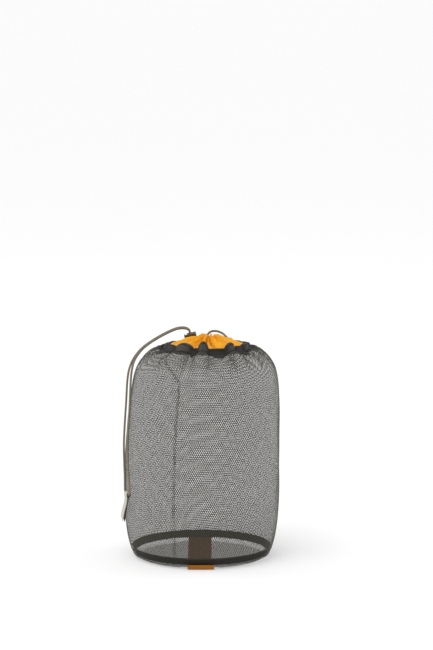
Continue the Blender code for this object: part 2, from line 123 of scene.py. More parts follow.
# Routes of the cord, as they are in the part.
CORD_RADIUS = 0.00115
RING_RADIUS = 0.0413
RING_HEIGHT = 0.2278
LOCK_PLACE = (-0.0128, 0.0390, 0.2312)
LOCK_TILT = -12.0
LOCK_HALF = 0.0026
LOCK_TRAVEL = 0.0028
STRAND_OFFSET = 0.00135
GAP = 0.0003
TAB_PLACE = (-0.0792, -0.0316, 0.0730)
TAB_TURN = -72.5
TAB_LEAN = -12.0
STRAND_DOWN = (
    (-0.0168, 0.0401, 0.2390), (-0.0220, 0.0393, 0.2399),
    (-0.0290, 0.0370, 0.2389), (-0.0380, 0.0328, 0.2356), (-0.0480, 0.0270, 0.2310),
    (-0.0583, 0.0198, 0.2254), (-0.0664, 0.0128, 0.2194), (-0.0731, 0.0046, 0.2114),
    (-0.0773, -0.0032, 0.2022), (-0.0793, -0.0090, 0.1900), (-0.0804, -0.0135, 0.1700),
    (-0.0820, -0.0170, 0.1450), (-0.0829, -0.0195, 0.1250), (-0.0826, -0.0210, 0.1050),
    (-0.0821, -0.0219, 0.0920), (-0.0820, -0.0226, 0.0840),
)
BIGHT = ((-0.0092, 0.0064), (-0.0086, 0.0026), (-0.0058, 0.0002), (0.0, 0.0), (0.0058, 0.0002),
         (0.0086, 0.0026), (0.0092, 0.0064))
STRAND_UP = (
    (-0.0770, -0.0382, 0.0840), (-0.0776, -0.0355, 0.0920), (-0.0784, -0.0318, 0.1050),
    (-0.0788, -0.0280, 0.1250), (-0.0778, -0.0260, 0.1450), (-0.0764, -0.0225, 0.1700),
    (-0.0756, -0.0155, 0.1900), (-0.0745, -0.0080, 0.2014), (-0.0719, 0.0004, 0.2104),
    (-0.0659, 0.0090, 0.2186), (-0.0582, 0.0162, 0.2248), (-0.0480, 0.0236, 0.2304),
    (-0.0380, 0.0296, 0.2350), (-0.0290, 0.0340, 0.2383), (-0.0220, 0.0364, 0.2393),
    (-0.0168, 0.0374, 0.2386),
)
LEFT_RUN = ((-0.0124, 0.0374, 0.2268), (-0.0140, 0.0369, 0.2254), (-0.0175, 0.0350, 0.2250),
            (-0.0222, 0.0315, 0.2262))
RIGHT_RUN = (
    (0.0280, 0.0348, 0.2275), (0.0248, 0.0370, 0.2308), (0.0208, 0.0390, 0.2338),
    (0.0150, 0.0408, 0.2356), (0.0092, 0.0417, 0.2350), (0.0058, 0.0421, 0.2320),
    (0.0030, 0.0421, 0.2280), (-0.0008, 0.0417, 0.2254), (-0.0055, 0.0410, 0.2249),
    (-0.0098, 0.0405, 0.2258),
)


# ---- Curves and surfaces ----

def spread(*parts):
    """Arrays spread over one grid, with a value of each in the last axis."""
    return np.stack(np.broadcast_arrays(*parts), axis=-1)


def distance_along(line):
    """How far along a line each of its points is."""
    steps = np.linalg.norm(np.diff(line, axis=0), axis=1)
    return np.concatenate([[0], np.cumsum(steps)])


def directions(line):
    """Unit tangents along a line of points."""
    run = np.gradient(line, axis=0)
    return run / np.linalg.norm(run, axis=1)[:, None]


def smooth_path(route, spacing, samples=24):
    """Evenly spaced points along a smooth curve through the route's points."""
    points = np.array(route, float)
    points = np.vstack([2 * points[0] - points[1], points, 2 * points[-1] - points[-2]])
    t = np.linspace(0, 1, samples, endpoint=False)[:, None]
    runs = []
    for a, b, c, d in zip(points, points[1:], points[2:], points[3:]):
        square = (2 * a - 5 * b + 4 * c - d) * t**2
        cube = (3 * b - a - 3 * c + d) * t**3
        runs.append(0.5 * (2 * b + (c - a) * t + square + cube))
    dense = np.vstack(runs + [points[-2:-1]])
    along = distance_along(dense)
    even = np.linspace(0, along[-1], max(2, round(along[-1] / spacing) + 1))
    return np.stack([np.interp(even, along, column) for column in dense.T], axis=1)


def smoothstep(low, high, value):
    t = np.clip((value - low) / (high - low), 0.0, 1.0)
    return t * t * (3 - 2 * t)


def seam_angle(height):
    """The side seam runs straight up the wall, and turns aside with the gathers over the shoulder."""
    return np.radians(SEAM_ANGLE - SEAM_SWING * smoothstep(*SEAM_TURN_SPAN, height))


def axis_x(height):
    """The sack's leaning axis, which stays in the plane y = 0."""
    return BASE_OFFSET + LEAN * (np.maximum(height, 0.0) / SACK_HEIGHT) ** LEAN_POWER


def on_sack(radius, height, angle):
    """Points at a radius, height and angle about the leaning axis, with the mouth's tilt."""
    share = np.clip((height - TILT_SPAN[0]) / (TILT_SPAN[1] - TILT_SPAN[0]), 0.0, 1.0)
    lift = -RIM_TILT * np.sin(angle) * share
    across = axis_x(height) + radius * np.cos(angle)
    return np.stack([across, radius * np.sin(angle) + 0 * across, height + lift + 0 * across], axis=-1)


def in_gather(table, angle):
    """For angles in radians: the index of the fold each lies in, and from 0 to 1 where in it."""
    starts = np.array([row[0] for row in table])
    degrees = (np.degrees(angle) - starts[0]) % 360 + starts[0]
    index = np.clip(np.searchsorted(starts, degrees, side="right") - 1, 0, len(starts) - 2)
    return index, np.clip((degrees - starts[index]) / (starts[index + 1] - starts[index]), 0, 1)


def fold_wave(table, column, angle, power=0.7):
    """A row of rounded folds with sharp creases between them, as high as the table says."""
    index, share = in_gather(table, angle)
    heights = np.array([row[column] for row in table])
    return heights[index] * np.sin(np.pi * share) ** power


def knife_wave(table, column, angle):
    """A row of folds that rise steeply to a crease and fall away slowly."""
    index, share = in_gather(table, angle)
    heights = np.array([row[column] for row in table])
    lean = np.where(index % 2 == 0, 0.30, 0.62)
    return heights[index] * np.where(share < lean, share / lean, (1 - share) / (1 - lean)) ** 0.85


def rim_height(angle):
    index, share = in_gather(GATHERS, angle)
    tops = np.array([row[2] for row in GATHERS])
    return CREASE_RIM + (tops[index] - CREASE_RIM) * np.sin(np.pi * share) ** 0.6


class Wall:
    """The wall's outer face by the share of its profile's length, with its folds."""

    def __init__(self):
        line = smooth_path(WALL_PROFILE, 0.0005)
        self.along = distance_along(line)
        self.length = self.along[-1]
        self.height, self.radius = line.T
        run = directions(line)
        self.out_height, self.out_radius = -run[:, 1], run[:, 0]

    def swell(self, height, angle):
        """How far folds and slack move the cloth out."""
        gather = smoothstep(*FOLD_SPAN, height) ** 2.2
        folds = (fold_wave(GATHERS, 1, angle) - 0.0012) * gather
        belly = smoothstep(0.01, 0.06, height) * (1 - smoothstep(0.17, 0.21, height))
        slack = 0.00030 * np.sin(5 * angle + 9 * height / SACK_HEIGHT + 0.8)
        slack += 0.00022 * np.sin(11 * angle - 14 * height / SACK_HEIGHT)
        slack += 0.00016 * np.sin(23 * angle + 21 * height / SACK_HEIGHT + 2.0)
        return folds + slack * belly

    def height_at(self, along):
        return np.interp(along, self.along, self.height)

    def radius_at(self, along):
        return np.interp(along, self.along, self.radius)

    def point(self, along, angle, depth=0.0):
        """Points on the wall, or as deep inside it as depth says."""
        height, radius = self.height_at(along), self.radius_at(along)
        out = self.swell(height, angle) - depth
        rise = out * np.interp(along, self.along, self.out_height)
        radius = radius + out * np.interp(along, self.along, self.out_radius)
        return on_sack(radius, height + rise, angle)

    def at_height(self, height):
        return np.interp(height, self.height, self.along)


WALL = Wall()


def add_strip_map(data, uv):
    """A UV map from one pair for each point."""
    layer = data.uv_layers.new(name="Strip")
    corners = np.empty(len(data.loops), int)
    data.loops.foreach_get("vertex_index", corners)
    layer.data.foreach_set("uv", np.asarray(uv, float).reshape(-1, 2)[corners].ravel())


def mesh_from(name, points, faces, uv=None, smooth=True):
    """A mesh of numpy points and faces. uv gives one pair for each point."""
    made = bpy.data.meshes.new(name)
    made.from_pydata(np.asarray(points).reshape(-1, 3).tolist(), [], np.asarray(faces).tolist())
    if uv is not None:
        add_strip_map(made, uv)
    if smooth:
        made.shade_smooth()
    made.update()
    return made


def grid_faces(rows, columns, wrap_rows=False, wrap_columns=False):
    """Quads over a grid of points in row order."""
    row = np.arange(rows if wrap_rows else rows - 1)[:, None]
    column = np.arange(columns if wrap_columns else columns - 1)[None, :]
    right, up = (column + 1) % columns, (row + 1) % rows
    quads = spread(row * columns + column, row * columns + right, up * columns + right,
                   up * columns + column)
    return quads.reshape(-1, 4)


def coordinates(data):
    places = np.empty(len(data.vertices) * 3)
    data.vertices.foreach_get("co", places)
    return places.reshape(-1, 3)


def keep_used(points, faces):
    """Drops the points that no face uses."""
    used, renumbered = np.unique(faces, return_inverse=True)
    return points[used], renumbered.reshape(faces.shape)


def link(made):
    bpy.context.scene.collection.objects.link(made)


def thicken(piece, name, thickness, offset=0.0):
    """Gives a single layer of cloth its thickness."""
    solid = piece.modifiers.new(name, "SOLIDIFY")
    solid.thickness = thickness
    solid.offset = offset


def add_object(name, data, finish, body, *nodes, slot=None):
    """Puts a finished mesh in the scene, on its body, in place of its CAD nodes."""
    made = bpy.data.objects.new(name, data)
    data.materials.clear()
    data.materials.append(finish)
    link(made)
    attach(made, body)
    if nodes:
        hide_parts(*nodes)
    return made


def outward(data, doubles=1e-6, close=False):
    """Merges doubles, closes open ends if asked to, and turns every face outwards."""
    shape = bmesh.new()
    shape.from_mesh(data)
    bmesh.ops.remove_doubles(shape, verts=shape.verts, dist=doubles)
    if close:
        bmesh.ops.holes_fill(shape, edges=shape.edges)
    bmesh.ops.recalc_face_normals(shape, faces=shape.faces)
    shape.to_mesh(data)
    shape.free()
    return data


# ---- Shader groups and materials ----

def new_group(name, inputs, outputs):
    """A shader node group with float inputs, and its ends."""
    group = bpy.data.node_groups.new(name, "ShaderNodeTree")
    for label, kind, value in inputs:
        socket = group.interface.new_socket(label, in_out="INPUT", socket_type=kind)
        if value is not None:
            socket.default_value = value
    for label, kind in outputs:
        group.interface.new_socket(label, in_out="OUTPUT", socket_type=kind)
    return group, group.nodes.new("NodeGroupInput"), group.nodes.new("NodeGroupOutput")


def set_inputs(tree, made, values):
    """Links or fills in a node's inputs, by name or number."""
    for key, value in values.items():
        socket = made.inputs[key]
        if isinstance(value, bpy.types.NodeSocket):
            tree.links.new(value, socket)
        else:
            socket.default_value = value
    return made


def node(tree, kind, **values):
    """A node with its properties set, and its inputs linked or filled in."""
    made = tree.nodes.new(kind)
    inputs = values.pop("inputs", {})
    for key, value in values.items():
        setattr(made, key, value)
    return set_inputs(tree, made, inputs)


def maths(tree, operation, *values):
    made = node(tree, "ShaderNodeMath", operation=operation, inputs=dict(enumerate(values)))
    return made.outputs[0]


def blotches_group():
    """Slow and fine colour variation, as in dyed cloth."""
    group, ends, out = new_group("dye_variation", (
        ("Vector", "NodeSocketVector", None), ("Dye", "NodeSocketColor", (1, 1, 1, 1)),
        ("Slow Size", "NodeSocketFloat", 0.03), ("Fine Size", "NodeSocketFloat", 0.0006),
        ("Amount", "NodeSocketFloat", 0.15)), (("Colour", "NodeSocketColor"), ("Grain", "NodeSocketFloat")))
    slow = node(group, "ShaderNodeTexNoise", inputs={
        "Vector": ends.outputs["Vector"], "Detail": 3.0,
        "Scale": maths(group, "DIVIDE", 1.0, ends.outputs["Slow Size"])})
    fine = node(group, "ShaderNodeTexNoise", inputs={
        "Vector": ends.outputs["Vector"], "Detail": 2.0,
        "Scale": maths(group, "DIVIDE", 1.0, ends.outputs["Fine Size"])})
    both = maths(group, "ADD", maths(group, "SUBTRACT", slow.outputs[0], 0.5),
                 maths(group, "SUBTRACT", fine.outputs[0], 0.5))
    value = maths(group, "ADD", 1.0, maths(group, "MULTIPLY", both, maths(
        group, "MULTIPLY", 2.0, ends.outputs["Amount"])))
    tint = node(group, "ShaderNodeHueSaturation", inputs={"Color": ends.outputs["Dye"], "Value": value})
    group.links.new(tint.outputs[0], out.inputs["Colour"])
    group.links.new(fine.outputs[0], out.inputs["Grain"])
    return group


def weave_group():
    """Warp and weft threads over a strip map in metres: U runs along it and V across it."""
    group, ends, out = new_group("woven_threads", (
        ("Map", "NodeSocketVector", None), ("Along", "NodeSocketFloat", 0.0006),
        ("Across", "NodeSocketFloat", 0.0006), ("Slant", "NodeSocketFloat", 0.0)),
        (("Height", "NodeSocketFloat"), ("Gap", "NodeSocketFloat")))
    parts = node(group, "ShaderNodeSeparateXYZ", inputs={0: ends.outputs["Map"]})
    slant = maths(group, "MULTIPLY", parts.outputs[1], ends.outputs["Slant"])
    along = maths(group, "DIVIDE", maths(group, "ADD", parts.outputs[0], slant), ends.outputs["Along"])
    across = maths(group, "DIVIDE", parts.outputs[1], ends.outputs["Across"])
    one = maths(group, "SINE", maths(group, "MULTIPLY", along, math.tau))
    two = maths(group, "SINE", maths(group, "MULTIPLY", across, math.tau))
    flat = maths(group, "MULTIPLY", one, two)
    height = maths(group, "MULTIPLY_ADD", flat, 0.5, 0.5)
    group.links.new(height, out.inputs["Height"])
    group.links.new(maths(group, "POWER", height, 2.0), out.inputs["Gap"])
    return group


def braid_group():
    """Plaited strands round a cord. U counts strands along it, and V goes once round from 0 to 1."""
    group, ends, out = new_group("plaited_strands", (
        ("Map", "NodeSocketVector", None), ("Strands", "NodeSocketFloat", 4.0)),
        (("Height", "NodeSocketFloat"), ("Side", "NodeSocketFloat")))
    parts = node(group, "ShaderNodeSeparateXYZ", inputs={0: ends.outputs["Map"]})
    turn = maths(group, "MULTIPLY", parts.outputs[1], ends.outputs["Strands"])
    left = maths(group, "ADD", parts.outputs[0], turn)
    right = maths(group, "SUBTRACT", parts.outputs[0], turn)
    ridges = [maths(group, "ABSOLUTE", maths(group, "SINE", maths(group, "MULTIPLY", value, math.pi)))
              for value in (left, right)]
    cells = maths(group, "ADD", maths(group, "FLOOR", left), maths(group, "FLOOR", right))
    side = maths(group, "FLOORED_MODULO", cells, 2.0)
    mixed = node(group, "ShaderNodeMix", inputs={0: side, 2: ridges[0], 3: ridges[1]})
    group.links.new(mixed.outputs[0], out.inputs["Height"])
    group.links.new(side, out.inputs["Side"])
    return group


GROUPS = {}


def shared(name):
    makers = {"dye": blotches_group, "weave": weave_group, "braid": braid_group}
    if name not in GROUPS:
        GROUPS[name] = makers[name]()
    return GROUPS[name]


def use_group(tree, name, **inputs):
    made = tree.nodes.new("ShaderNodeGroup")
    made.node_tree = shared(name)
    return set_inputs(tree, made, {key.replace("_", " "): value for key, value in inputs.items()})


def dyed(tree, place, color, slow, fine, amount):
    """A colour that varies slowly and finely over the sizes given."""
    return use_group(tree, "dye", Vector=place, Dye=(*color, 1.0), Slow_Size=slow, Fine_Size=fine,
                     Amount=amount)


def start_material(name, color, roughness, **sockets):
    """A material with its shader, object coordinates and dyed colour."""
    made = bpy.data.materials.new(name)
    made.use_nodes = True
    made.diffuse_color = (*color[:3], 1.0)
    tree = made.node_tree
    shader = tree.nodes["Principled BSDF"]
    shader.inputs["Roughness"].default_value = roughness
    for key, value in sockets.items():
        shader.inputs[key.replace("_", " ")].default_value = value
    place = tree.nodes.new("ShaderNodeTexCoord").outputs["Object"]
    return made, tree, shader, place


def set_bump(tree, shader, height, distance, strength=1.0):
    bump = node(tree, "ShaderNodeBump", inputs={"Height": height, "Distance": distance,
                                                "Strength": strength})
    tree.links.new(bump.outputs[0], shader.inputs["Normal"])


def strip_map(tree):
    return node(tree, "ShaderNodeUVMap", uv_map="Strip").outputs[0]


def tint_by_painted_shade(tree, tint, left):
    """Painted shade: a colour with only the given share left of it where a point attribute marks shade."""
    drawn = node(tree, "ShaderNodeAttribute", attribute_name="tightness")
    mixed = node(tree, "ShaderNodeMix", data_type="RGBA", blend_type="MULTIPLY", inputs={
        0: drawn.outputs["Fac"], 6: tint, 7: left})
    return mixed.outputs[2]


def net_material(name, color, amount=0.12, tight=1.0):
    """Netting yarn, with painted shade: the last argument is how much of its colour is left where a point
    attribute marks shade.
    """
    made, tree, shader, place = start_material(name, color, 0.62, Specular_IOR_Level=0.35)
    dye = dyed(tree, place, color, 0.035, 0.0004, amount)
    tint = dye.outputs["Colour"]
    if tight < 1.0:
        tint = tint_by_painted_shade(tree, tint, (tight, tight, tight, 1.0))
    tree.links.new(tint, shader.inputs["Base Color"])
    rough = node(tree, "ShaderNodeMapRange", inputs={0: dye.outputs["Grain"], 3: 0.5, 4: 0.8})
    tree.links.new(rough.outputs[0], shader.inputs["Roughness"])
    return made


def cloth_material(name, color, roughness, along, across, bump, slant=0.0, amount=0.1, dark=0.6,
                   tight=None, **sockets):
    """A woven material that follows the piece's strip map, with an optional tint of painted shade where a
    point attribute marks it.
    """
    made, tree, shader, place = start_material(name, color, roughness, **sockets)
    dye = dyed(tree, place, color, 0.02, 0.0007, amount)
    weave = use_group(tree, "weave", Map=strip_map(tree), Along=along, Across=across, Slant=slant)
    shade = node(tree, "ShaderNodeMapRange", inputs={0: weave.outputs["Height"], 3: dark, 4: 1.0})
    tinted = node(tree, "ShaderNodeMix", data_type="RGBA", blend_type="MULTIPLY", inputs={0: 1.0})
    tree.links.new(dye.outputs["Colour"], tinted.inputs[6])
    tree.links.new(shade.outputs[0], tinted.inputs[7])
    tint = tinted.outputs[2]
    if tight:
        tint = tint_by_painted_shade(tree, tint, (*tight, 1.0))
    tree.links.new(tint, shader.inputs["Base Color"])
    set_bump(tree, shader, weave.outputs["Height"], bump)
    return made


def cord_material(name, light, dark):
    made, tree, shader, place = start_material(name, light, 0.7, Specular_IOR_Level=0.3)
    braid = use_group(tree, "braid", Map=strip_map(tree), Strands=4.0)
    dye = dyed(tree, place, light, 0.01, 0.0003, 0.2)
    # painted shade: the grooves between the braid's strands are darkened
    groove = node(tree, "ShaderNodeMapRange", inputs={0: braid.outputs["Height"], 1: 0.1, 2: 0.7})
    groove_shade = node(tree, "ShaderNodeMix", data_type="RGBA")
    tree.links.new(groove.outputs[0], groove_shade.inputs[0])
    groove_shade.inputs[6].default_value = (*dark, 1.0)
    tree.links.new(dye.outputs["Colour"], groove_shade.inputs[7])
    tree.links.new(groove_shade.outputs[2], shader.inputs["Base Color"])
    set_bump(tree, shader, braid.outputs["Height"], 0.00018)
    return made


def moulded_material(name, color, roughness):
    made, tree, shader, place = start_material(name, color, roughness, Specular_IOR_Level=0.5)
    dye = dyed(tree, place, color, 0.004, 0.00025, 0.12)
    tree.links.new(dye.outputs["Colour"], shader.inputs["Base Color"])
    set_bump(tree, shader, dye.outputs["Grain"], 0.00003)
    return made


def steel_material():
    made, tree, shader, place = start_material("spring_wire", (0.6, 0.6, 0.6), 0.3, Metallic=1.0)
    grain = node(tree, "ShaderNodeTexNoise", inputs={"Vector": place, "Scale": 4000.0})
    rough = node(tree, "ShaderNodeMapRange", inputs={0: grain.outputs[0], 3: 0.22, 4: 0.42})
    tree.links.new(rough.outputs[0], shader.inputs["Roughness"])
    return made


# ---- Geometry nodes ----

def socket_id(tree, label):
    return next(item.identifier for item in tree.interface.items_tree
                if item.name == label and item.in_out == "INPUT")


def new_tree(name, inputs):
    tree = bpy.data.node_groups.new(name, "GeometryNodeTree")
    tree.interface.new_socket("Geometry", in_out="INPUT", socket_type="NodeSocketGeometry")
    for label, kind, value in inputs:
        socket = tree.interface.new_socket(label, in_out="INPUT", socket_type=kind)
        if value is not None:
            socket.default_value = value
    tree.interface.new_socket("Geometry", in_out="OUTPUT", socket_type="NodeSocketGeometry")
    return tree, tree.nodes.new("NodeGroupInput"), tree.nodes.new("NodeGroupOutput")


def end_tree(tree, ends, out, geometry):
    solid = node(tree, "GeometryNodeRealizeInstances", inputs={0: geometry})
    painted = node(tree, "GeometryNodeSetMaterial", inputs={
        "Geometry": solid.outputs[0], "Material": ends.outputs["Material"]})
    tree.links.new(painted.outputs[0], out.inputs[0])


def netting_tree():
    """Opens a hole in every face and leaves a ridged yarn along every edge."""
    tree, ends, out = new_tree("knit_netting", (
        ("Hole Share", "NodeSocketFloat", 0.66), ("Yarn Drop", "NodeSocketFloat", 0.00015),
        ("Material", "NodeSocketMaterial", None)))
    normal = node(tree, "GeometryNodeInputNormal")
    inset = node(tree, "GeometryNodeExtrudeMesh", mode="FACES", inputs={
        "Mesh": ends.outputs["Geometry"], "Offset": normal.outputs[0],
        "Offset Scale": maths(tree, "MULTIPLY", ends.outputs["Yarn Drop"], -1.0), "Individual": True})
    drawn = node(tree, "GeometryNodeInputNamedAttribute", data_type="FLOAT",
                 inputs={"Name": "openness"})
    shrunk = node(tree, "GeometryNodeScaleElements", domain="FACE", inputs={
        "Geometry": inset.outputs["Mesh"], "Selection": inset.outputs["Top"],
        "Scale": maths(tree, "MULTIPLY", ends.outputs["Hole Share"], drawn.outputs[0])})
    opened = node(tree, "GeometryNodeDeleteGeometry", domain="FACE", mode="ALL", inputs={
        "Geometry": shrunk.outputs[0], "Selection": inset.outputs["Top"]})
    smooth = node(tree, "GeometryNodeSetShadeSmooth", inputs={"Geometry": opened.outputs[0]})
    end_tree(tree, ends, out, smooth.outputs[0])
    return tree


def set_openness(data, values):
    """How open each face of a guide is, from 0 to 1, as the netting tree reads it."""
    data.attributes.new("openness", "FLOAT", "FACE").data.foreach_set("value", values)


def set_painted_shade(data, values):
    """Painted shade at each point, from 0 to 1, which its material reads to darken its colour."""
    data.attributes.new("tightness", "FLOAT", "POINT").data.foreach_set("value", values)


def stitch_tree():
    """Lays short straight threads along a path."""
    tree, ends, out = new_tree("lay_stitches", (
        ("Pitch", "NodeSocketFloat", 0.003), ("Stitch", "NodeSocketFloat", 0.002),
        ("Thread Radius", "NodeSocketFloat", 0.0002), ("Material", "NodeSocketMaterial", None)))
    path = node(tree, "GeometryNodeMeshToCurve", inputs={"Mesh": ends.outputs["Geometry"]})
    spots = node(tree, "GeometryNodeCurveToPoints", mode="LENGTH", inputs={
        "Curve": path.outputs[0], "Length": ends.outputs["Pitch"]})
    turn = node(tree, "FunctionNodeAlignRotationToVector", axis="X", inputs={
        "Vector": spots.outputs["Tangent"]})
    half = maths(tree, "MULTIPLY", ends.outputs["Stitch"], 0.5)
    left = node(tree, "ShaderNodeCombineXYZ", inputs={0: maths(tree, "MULTIPLY", half, -1.0)})
    right = node(tree, "ShaderNodeCombineXYZ", inputs={0: half})
    line = node(tree, "GeometryNodeCurvePrimitiveLine", inputs={0: left.outputs[0], 1: right.outputs[0]})
    ring = node(tree, "GeometryNodeCurvePrimitiveCircle", inputs={
        "Resolution": 6, "Radius": ends.outputs["Thread Radius"]})
    thread = node(tree, "GeometryNodeCurveToMesh", inputs={
        "Curve": line.outputs[0], "Profile Curve": ring.outputs[0], "Fill Caps": True})
    laid = node(tree, "GeometryNodeInstanceOnPoints", inputs={
        "Points": spots.outputs["Points"], "Instance": thread.outputs[0], "Rotation": turn.outputs[0]})
    end_tree(tree, ends, out, laid.outputs[0])
    return tree


TREES = {}


def grow(data, tree_name, finish, **values):
    """Runs a guide mesh through a node tree, and gives the plain mesh that comes out."""
    makers = {"netting": netting_tree, "stitches": stitch_tree}
    if tree_name not in TREES:
        TREES[tree_name] = makers[tree_name]()
    tree = TREES[tree_name]
    guide = bpy.data.objects.new(data.name + "_guide", data)
    link(guide)
    step = guide.modifiers.new(tree_name, "NODES")
    step.node_group = tree
    step[socket_id(tree, "Material")] = finish
    for key, value in values.items():
        step[socket_id(tree, key.replace("_", " "))] = value
    bpy.context.view_layer.update()
    seen = guide.evaluated_get(bpy.context.evaluated_depsgraph_get())
    made = bpy.data.meshes.new_from_object(seen)
    made.name = data.name
    bpy.data.objects.remove(guide, do_unlink=True)
    bpy.data.meshes.remove(data)
    return made


def diamond_grid(columns, rows, slant, place, span=(0, None)):
    """Slanting diamond faces over a tube: place(row share, turn) gives points, span picks the rows."""
    first, last = span[0], span[1] if span[1] is not None else rows
    row = np.arange(first, last + 1)
    share = row / rows
    across = np.arange(columns)[None, :] + 0.5 * (row[:, None] % 2) + 0.5 * slant * row[:, None]
    turn = across / columns * math.tau
    points = place(np.broadcast_to(share[:, None], turn.shape), turn)
    count = len(row)
    faces = []
    column = np.arange(columns)
    for line in range(count - 2):
        shift = row[line] % 2
        left = (column - 1 + shift) % columns
        right = (column + shift) % columns
        faces.append(np.stack([line * columns + column, (line + 1) * columns + right,
                               (line + 2) * columns + column, (line + 1) * columns + left], axis=-1))
    return points.reshape(-1, 3), np.vstack(faces)


# ---- What a user may change ----

def length_property(label, text, default, low, high):
    return bpy.props.FloatProperty(name=label, description=text, default=default, min=low, max=high,
                                   unit="LENGTH")


def share_property(label, text, default, low, high):
    return bpy.props.FloatProperty(name=label, description=text, default=default, min=low, max=high,
                                   subtype="FACTOR")


def colour_property(label, text, default):
    return bpy.props.FloatVectorProperty(name=label, description=text, subtype="COLOR", size=3,
                                         default=default, min=0, max=1)


class SackSizes(bpy.types.PropertyGroup):
    net_pitch: length_property(
        "Net pitch", "Side of one diamond of the netting", 0.00155, 0.001, 0.006)
    net_slant: share_property(
        "Net slant", "How far the rows of holes slip sideways as they rise", 0.45, -1.0, 1.0)
    hole_share: share_property(
        "Hole share", "How much of a diamond's side its hole takes", 0.668, 0.2, 0.9)
    yarn_drop: length_property(
        "Yarn height", "How far the middle of a yarn stands over its sides", 0.00012, 0.0, 0.001)
    stitch_pitch: length_property(
        "Stitch pitch", "Distance from one stitch to the next", 0.0032, 0.001, 0.01)
    stitch_length: length_property(
        "Stitch length", "Length of thread that shows in a stitch", 0.0022, 0.0005, 0.01)
    thread_radius: length_property(
        "Thread radius", "Half the thickness of the sewing thread", 0.00013, 0.00005, 0.001)
    cord_sides: bpy.props.IntProperty(
        name="Cord sides", description="Flat sides round the cord", default=14, min=6, max=32)


class SackColours(bpy.types.PropertyGroup):
    netting: colour_property("Netting", "Colour of the wall and base", (0.058, 0.053, 0.041))
    gathered: colour_property(
        "Gathered netting", "Colour of the doubled netting at the mouth", (0.068, 0.065, 0.056))
    binding: colour_property(
        "Binding", "Colour of the tape in the base seam", (0.012, 0.011, 0.008))
    collar: colour_property("Collar", "Colour of the thin cloth in the mouth", (0.86, 0.395, 0.003))
    webbing: colour_property("Webbing", "Colour of the strap under the base", (0.38, 0.135, 0.002))
    cord_light: colour_property("Cord", "Colour of the cord's strands", (0.255, 0.220, 0.155))
    # painted shade in the grooves between the cord's strands
    cord_groove_shade: colour_property(
        "Cord grooves", "Colour between the cord's strands", (0.10, 0.085, 0.055))
    ribbon: colour_property("Ribbon", "Colour of the pull tab", (0.52, 0.49, 0.41))
    lock: colour_property("Cord lock", "Colour of the moulded lock", (0.070, 0.052, 0.026))


def sizes():
    return bpy.context.scene.sack_sizes


def colour(name):
    return tuple(getattr(bpy.context.scene.sack_colours, name))


# ---- Pieces ----

class SACK_OT_camera(bpy.types.Operator):
    """Puts the camera in front of the sack, looking slightly down"""
    bl_idname = "laundry_sack.camera"
    bl_label = "Camera"

    def execute(self, context):
        lens = bpy.data.cameras.new("camera")
        distance, width = 4.0, 0.694   # width is what the picture spans at that distance
        lens.sensor_width = 36.0
        lens.lens = 36.0 * distance / width
        lens.clip_end = 50.0
        view = bpy.data.objects.new("camera", lens)
        view.location = (0.01505446, -3.91233787, 0.86828373)
        view.rotation_euler = (math.radians(81.0), 0.0, 0.0)
        link(view)
        bpy.context.scene.camera = view
        return {"FINISHED"}


def lock_point(side, along):
    tilt = math.radians(LOCK_TILT)
    x, y, z = LOCK_PLACE
    return x + along * math.sin(tilt), y + side * STRAND_OFFSET, z + along * math.cos(tilt)


def tab_point(across, up):
    turn = math.radians(TAB_TURN)
    x, y, z = TAB_PLACE
    return x + across * math.cos(turn), y + across * math.sin(turn), z + up


def cord_tube(name, route, radius, sides, spacing=0.0008, strand=0.0011):
    """A round tube along a route, with a strip map that counts strands along it."""
    path = smooth_path(route, spacing)
    run = directions(path)
    side = np.cross(run[0], (0.3, 0.5, 0.8))
    rings = []
    for way in run:
        side = side - way * (side @ way)
        side = side / np.linalg.norm(side)
        rings.append((side, np.cross(way, side)))
    sides_at = np.array(rings)
    turn = np.arange(sides + 1) / sides * math.tau
    ring = (sides_at[:, 0, None] * np.cos(turn)[None, :, None]
            + sides_at[:, 1, None] * np.sin(turn)[None, :, None])
    points = path[:, None] + radius * ring
    rows = len(path)
    along = np.arange(rows) * spacing / strand
    uv = spread(along[:, None], turn[None, :] / math.tau)
    faces = grid_faces(rows, sides + 1)
    data = mesh_from(name, points, faces, uv)
    outward(data, 1e-7, close=True)
    data.shade_smooth()
    data.set_sharp_from_angle(angle=math.radians(60))
    return data, path


class SACK_OT_cords(bpy.types.Operator):
    """Makes the cord that the mouth holds, and its free bight"""
    bl_idname = "laundry_sack.cords"
    bl_label = "Drawcord"

    def execute(self, context):
        finish = cord_material("cord_braid", colour("cord_light"), colour("cord_groove_shade"))
        ring = []
        for angle in range(147, 410, 10):
            turn = math.radians(angle)
            dip = min(float(rim_height(np.array(turn))) - RING_HEIGHT - 0.0022, 0.0)
            ring.append(tuple(on_sack(RING_RADIUS, RING_HEIGHT + dip, turn)))
        below = -LOCK_HALF - 2 * GAP
        held = [lock_point(-1, LOCK_HALF), lock_point(-1, below), *LEFT_RUN, *ring]
        held += [*RIGHT_RUN, lock_point(1, below), lock_point(1, LOCK_HALF)]
        data, _ = cord_tube("drawcord_in_hem", held, CORD_RADIUS, sizes().cord_sides)
        add_object("drawcord_in_hem", data, finish, "bag", "tunnel_drawcord", slot="cord")
        start = LOCK_HALF + GAP
        turn = start + LOCK_TRAVEL
        free = [lock_point(1, start), lock_point(1, turn), *STRAND_DOWN]
        free += [tab_point(*place) for place in BIGHT]
        free += [*STRAND_UP, lock_point(-1, turn), lock_point(-1, start)]
        data, path = cord_tube("hanging_drawcord", free, CORD_RADIUS, sizes().cord_sides)
        piece = add_object("hanging_drawcord", data, finish, "bag", "pull_cord", slot="cord")
        tab = make_tab()
        return {"FINISHED"}


